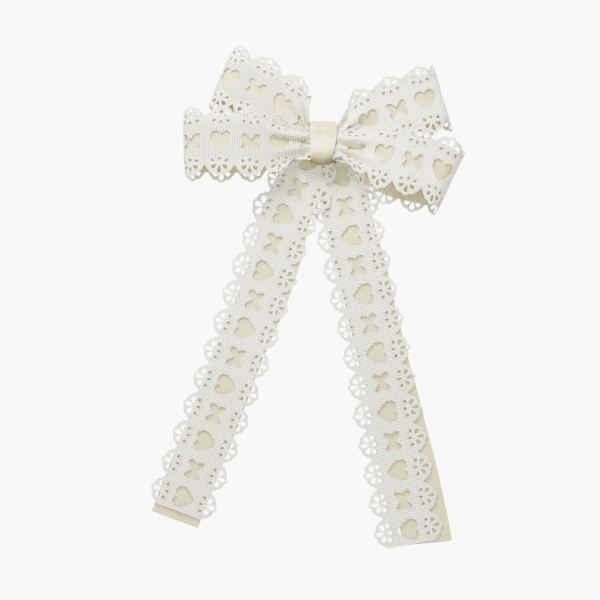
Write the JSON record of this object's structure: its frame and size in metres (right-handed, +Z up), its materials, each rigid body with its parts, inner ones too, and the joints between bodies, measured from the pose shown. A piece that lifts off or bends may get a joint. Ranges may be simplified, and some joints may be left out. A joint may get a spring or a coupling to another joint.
{
  "type": "hair bow",
  "caption": "Lace-over-satin ribbon bow with looped tiers, long hanging tails and a wrapped knot on a sprung alligator hair clip.",
  "frame": {"origin": "middle of the gap between the clip's jaws, behind the knot", "axes": "+Z up as worn, -Y the front that is seen, +Y towards the hair, +X to the right of someone facing the bow"},
  "size_m": [0.1549, 0.0321, 0.2531],
  "materials": {
    "lace": "ribbed white grosgrain with cut-outs",
    "satin": "cream satin",
    "knot_satin": "cream satin",
    "thread": "sewing thread",
    "glue": "set hot-melt glue",
    "steel": "nickel-plated steel",
    "spring_steel": "bare spring wire"
  },
  "bodies": {
    "bow": {"upper_left_loop_lace": "lace", "upper_left_loop_lining": "satin", "upper_right_loop_lace": "lace", "upper_right_loop_lining": "satin", "lower_left_loop_lace": "lace", "lower_left_loop_lining": "satin", "lower_right_loop_lace": "lace", "lower_right_loop_lining": "satin", "left_tail_root_lace": "lace", "left_tail_root_lining": "satin", "right_tail_root_lace": "lace", "right_tail_root_lining": "satin", "binding_thread": "thread", "knot_wrap": "knot_satin", "glue_pad": "glue", "clip_fixed_jaw": "steel", "clip_pin": "steel", "clip_spring": "spring_steel"},
    "left_tail": {"left_tail_lace": "lace", "left_tail_lining": "satin"},
    "right_tail": {"right_tail_lace": "lace", "right_tail_lining": "satin"},
    "clip_jaw": {"clip_moving_jaw": "steel"}
  },
  "joints": [
    {"name": "clip_jaw", "type": "hinge", "parent": "bow", "child": "clip_jaw", "pos_m": [0.011, 0.0006, 0], "axis": [0, 0, -1], "range_deg": [0, 30], "stiffness_Nm_per_rad": 0.1, "springref_deg": -28.65, "deforming": ["clip_spring"]},
    {"name": "left_tail_swing", "type": "hinge", "parent": "bow", "child": "left_tail", "pos_m": [-0.02105, -0.00635, -0.04001], "axis": [-0.9249, 0, 0.3802], "range_deg": [-20, 75]},
    {"name": "right_tail_swing", "type": "hinge", "parent": "bow", "child": "right_tail", "pos_m": [0.0127, -0.0046, -0.04], "axis": [-0.9845, 0, -0.1755], "range_deg": [-20, 75]}
  ]
}
